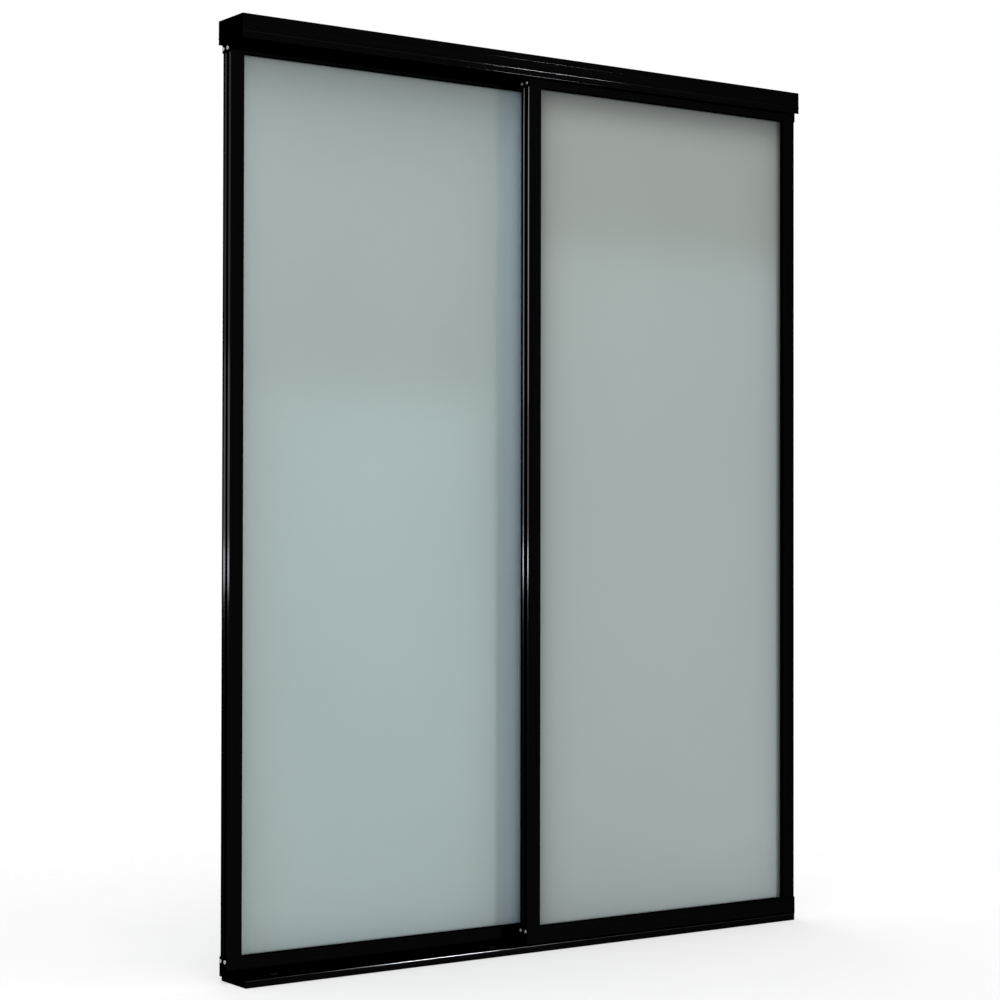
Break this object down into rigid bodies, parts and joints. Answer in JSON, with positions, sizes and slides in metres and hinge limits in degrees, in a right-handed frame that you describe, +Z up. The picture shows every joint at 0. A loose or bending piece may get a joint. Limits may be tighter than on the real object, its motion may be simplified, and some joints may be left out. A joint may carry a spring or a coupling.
{
  "type": "sliding closet door",
  "caption": "Bypass closet door: black aluminium frames with frosted glass roll past each other on a low sill track and are guided at the top by a header track.",
  "frame": {"origin": "centre of the sill track's underside, at floor level", "axes": "+Z up, +X to the right as seen from the room, -Y towards the room"},
  "size_m": [1.552, 0.1092, 2.032],
  "materials": {
    "frame_black": "satin black anodised extrusion",
    "track_black": "satin black anodised extrusion",
    "frosted_glass": "pale grey-green acid-etched glass",
    "gasket_black": "matte black",
    "cap_black": "fine-grained black moulding",
    "screw_zinc": "bright zinc plate",
    "roller_nylon": "black nylon",
    "bracket_steel": "zinc-plated sheet steel",
    "guide_nylon": "black nylon"
  },
  "bodies": {
    "tracks": {"header_track": "track_black", "sill_track": "track_black"},
    "left_door": {"left_door_left_stile": "frame_black", "left_door_right_stile": "frame_black", "left_door_top_rail": "frame_black", "left_door_bottom_rail": "frame_black", "left_door_glass": "frosted_glass", "left_door_side_gaskets": "gasket_black", "left_door_end_gaskets": "gasket_black", "left_door_end_caps": "cap_black", "left_door_cap_screws": "screw_zinc", "left_door_rollers": "roller_nylon", "left_door_roller_axles": "bracket_steel", "left_door_roller_brackets": "bracket_steel", "left_door_top_guides": "guide_nylon"},
    "right_door": {"right_door_left_stile": "frame_black", "right_door_right_stile": "frame_black", "right_door_top_rail": "frame_black", "right_door_bottom_rail": "frame_black", "right_door_glass": "frosted_glass", "right_door_side_gaskets": "gasket_black", "right_door_end_gaskets": "gasket_black", "right_door_end_caps": "cap_black", "right_door_cap_screws": "screw_zinc", "right_door_rollers": "roller_nylon", "right_door_roller_axles": "bracket_steel", "right_door_roller_brackets": "bracket_steel", "right_door_top_guides": "guide_nylon"}
  },
  "joints": [
    {"name": "left_door_slide", "type": "slide", "parent": "tracks", "child": "left_door", "axis": [1, 0, 0], "range_m": [0, 0.738]},
    {"name": "right_door_slide", "type": "slide", "parent": "tracks", "child": "right_door", "axis": [-1, 0, 0], "range_m": [0, 0.738]}
  ]
}
